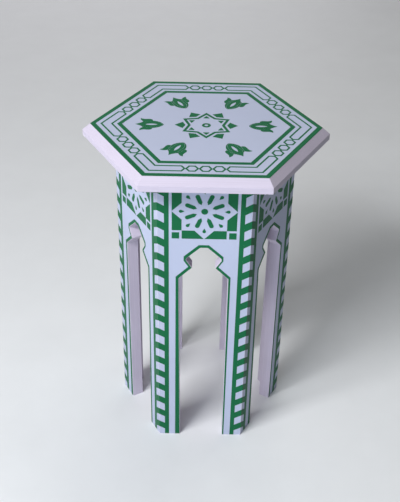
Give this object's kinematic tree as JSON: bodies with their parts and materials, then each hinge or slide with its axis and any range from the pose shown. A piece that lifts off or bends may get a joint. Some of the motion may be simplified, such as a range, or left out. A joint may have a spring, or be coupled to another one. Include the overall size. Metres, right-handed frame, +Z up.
{
  "type": "side table",
  "caption": "Hexagonal side table with a slope-edged top on mitred boards whose cut arches leave slender legs, painted lilac with a green geometric pattern.",
  "frame": {"origin": "on the floor, under the middle of the top", "axes": "+Z up; board 1 faces -Y, and two corners of the top lie on the X axis"},
  "size_m": [0.35, 0.3032, 0.5],
  "materials": {
    "top_paint": "satin lilac paint on board",
    "side_paint": "satin blue-lilac paint on board",
    "green_paint": "satin green paint film of the pattern",
    "plywood": "bare birch plywood",
    "pine": "bare planed pine",
    "zinc": "zinc-plated steel"
  },
  "bodies": {
    "root": {"tabletop": "top_paint", "side_panel_1": "side_paint", "side_panel_2": "side_paint", "side_panel_3": "side_paint", "side_panel_4": "side_paint", "side_panel_5": "side_paint", "side_panel_6": "side_paint", "mitre_spline_1": "plywood", "mitre_spline_2": "plywood", "mitre_spline_3": "plywood", "mitre_spline_4": "plywood", "mitre_spline_5": "plywood", "mitre_spline_6": "plywood", "top_cleat_1": "pine", "top_cleat_2": "pine", "top_cleat_3": "pine", "top_cleat_4": "pine", "top_cleat_5": "pine", "top_cleat_6": "pine", "panel_screw_1_left": "zinc", "panel_screw_1_right": "zinc", "panel_screw_2_left": "zinc", "panel_screw_2_right": "zinc", "panel_screw_3_left": "zinc", "panel_screw_3_right": "zinc", "panel_screw_4_left": "zinc", "panel_screw_4_right": "zinc", "panel_screw_5_left": "zinc", "panel_screw_5_right": "zinc", "panel_screw_6_left": "zinc", "panel_screw_6_right": "zinc", "top_screw_1": "zinc", "top_screw_2": "zinc", "top_screw_3": "zinc", "top_screw_4": "zinc", "top_screw_5": "zinc", "top_screw_6": "zinc"}
  },
  "joints": []
}
